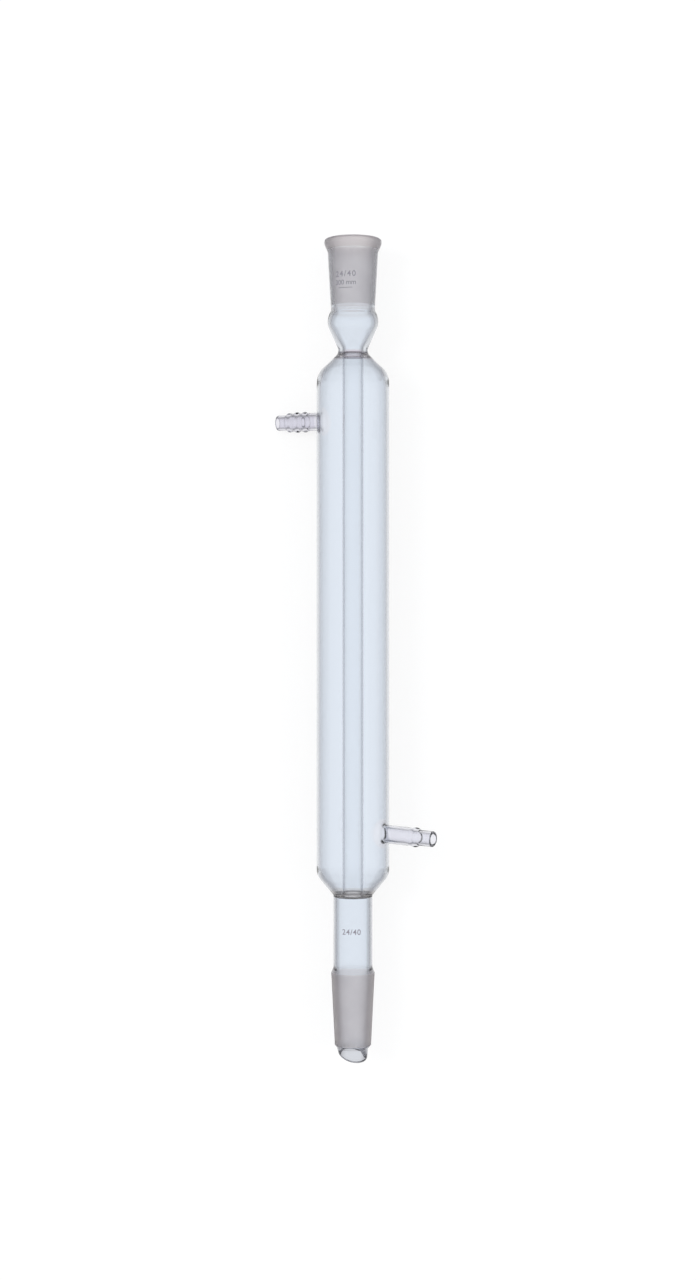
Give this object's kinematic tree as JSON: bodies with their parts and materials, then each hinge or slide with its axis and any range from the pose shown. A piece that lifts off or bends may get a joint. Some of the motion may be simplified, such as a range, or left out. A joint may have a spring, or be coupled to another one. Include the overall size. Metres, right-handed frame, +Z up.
{
  "type": "liebig condenser",
  "caption": "Glass Liebig condenser with a straight inner tube in a water jacket, hose arms, a ground socket and a ground cone with a drip tip.",
  "frame": {"origin": "bottom centre of the bounding box, on the bench that the condenser lies on", "axes": "+Y runs along the condenser's axis from the drip tip to the socket's mouth, +Z is up off the bench, and the upper side arm reaches towards -X and down to the bench"},
  "size_m": [0.0886, 0.4532, 0.0516],
  "materials": {
    "glass": "clear and fire-polished, with ground joint faces"
  },
  "bodies": {
    "root": {"condenser": "glass"}
  },
  "joints": []
}
